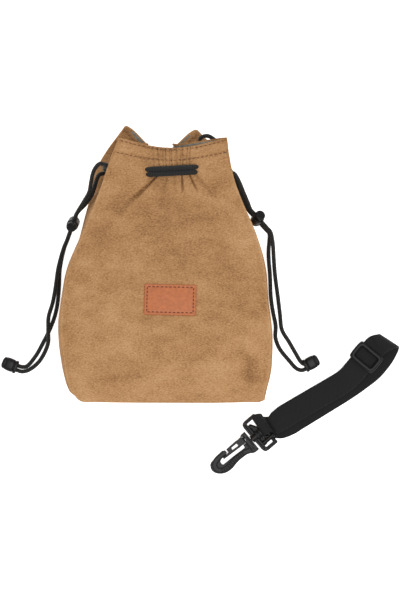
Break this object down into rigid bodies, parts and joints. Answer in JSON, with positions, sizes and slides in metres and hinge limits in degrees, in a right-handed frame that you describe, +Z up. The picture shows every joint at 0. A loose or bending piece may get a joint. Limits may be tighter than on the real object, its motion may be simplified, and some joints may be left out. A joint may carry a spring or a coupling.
{
  "type": "drawstring lens pouch",
  "caption": "Soft drawstring pouch with a plush lining, a leather label, cord locks and cord ends, and a loose webbing strap with a slider and a swivel snap hook.",
  "frame": {"origin": "on the flat face under the back panel, where the pouch lies on the table", "axes": "+X to the pouch's right, +Y from its base to its mouth, +Z up off the table, through its front"},
  "size_m": [0.3261, 0.2848, 0.0793],
  "materials": {
    "suede": "napped suede, mottled tan",
    "plush_lining": "short grey plush",
    "leather_label": "smooth red-brown leather, blank",
    "braided_cord": "black round braid",
    "webbing": "black woven webbing",
    "plastic": "satin black moulding",
    "spring_steel": "bright wire"
  },
  "bodies": {
    "pouch": {"front_panel": "suede", "back_panel": "suede", "left_gusset": "suede", "right_gusset": "suede", "base_panel": "suede", "front_lining": "plush_lining", "back_lining": "plush_lining", "left_lining": "plush_lining", "right_lining": "plush_lining", "base_lining": "plush_lining", "label_patch": "leather_label", "belt_loop": "suede", "drawstring_left_loop": "braided_cord", "drawstring_right_loop": "braided_cord", "drawstring_left_upper_strand": "braided_cord", "drawstring_left_lower_strand": "braided_cord", "drawstring_right_upper_strand": "braided_cord", "drawstring_right_lower_strand": "braided_cord", "left_cord_end": "plastic", "right_cord_end": "plastic"},
    "left_lock": {"left_lock_body": "plastic", "left_lock_spring": "spring_steel"},
    "left_button": {"left_lock_button": "plastic"},
    "right_lock": {"right_lock_body": "plastic", "right_lock_spring": "spring_steel"},
    "right_button": {"right_lock_button": "plastic"},
    "strap": {"strap_webbing": "webbing"},
    "slider": {"strap_slider": "plastic", "strap_end_tab": "webbing"},
    "loop": {"swivel_loop": "plastic"},
    "hook": {"snap_hook": "plastic"},
    "gate": {"hook_gate": "plastic"}
  },
  "joints": [
    {"name": "left_lock_slide", "type": "slide", "parent": "pouch", "child": "left_lock", "axis": [-0.3277, -0.8673, -0.3746], "range_m": [0, 0.006]},
    {"name": "left_button_press", "type": "slide", "parent": "left_lock", "child": "left_button", "axis": [0.1324, 0.3504, -0.9272], "range_m": [0, 0.0016], "stiffness_N_per_m": 400, "springref_m": -0.002, "deforming": ["left_lock_spring"]},
    {"name": "right_lock_slide", "type": "slide", "parent": "pouch", "child": "right_lock", "axis": [0.6675, -0.7413, 0.0698], "range_m": [0, 0.006]},
    {"name": "right_button_press", "type": "slide", "parent": "right_lock", "child": "right_button", "axis": [-0.2474, -0.3092, -0.9183], "range_m": [0, 0.0016], "stiffness_N_per_m": 400, "springref_m": -0.002, "deforming": ["right_lock_spring"]},
    {"name": "strap_lift", "type": "slide", "parent": "pouch", "child": "strap", "axis": [0, 0, 1], "range_m": [0, 0.1]},
    {"name": "slider_slide", "type": "slide", "parent": "strap", "child": "slider", "axis": [0.6428, 0.766, 0], "range_m": [-0.0055, 0.0015]},
    {"name": "loop_pivot", "type": "hinge", "parent": "strap", "child": "loop", "pos_m": [0.0811, -0.1301, 0.0034], "axis": [-0.6494, 0.7604, 0], "range_deg": [-95, 105]},
    {"name": "hook_swivel", "type": "hinge", "parent": "loop", "child": "hook", "pos_m": [0.06893, -0.14049, 0.0034], "axis": [-0.7604, -0.6494, 0], "continuous": true},
    {"name": "gate_hinge", "type": "hinge", "parent": "hook", "child": "gate", "pos_m": [0.06229, -0.14025, 0.0034], "axis": [0, 0, 1], "range_deg": [0, 7], "stiffness_Nm_per_rad": 0.05, "springref_deg": -5.73}
  ]
}
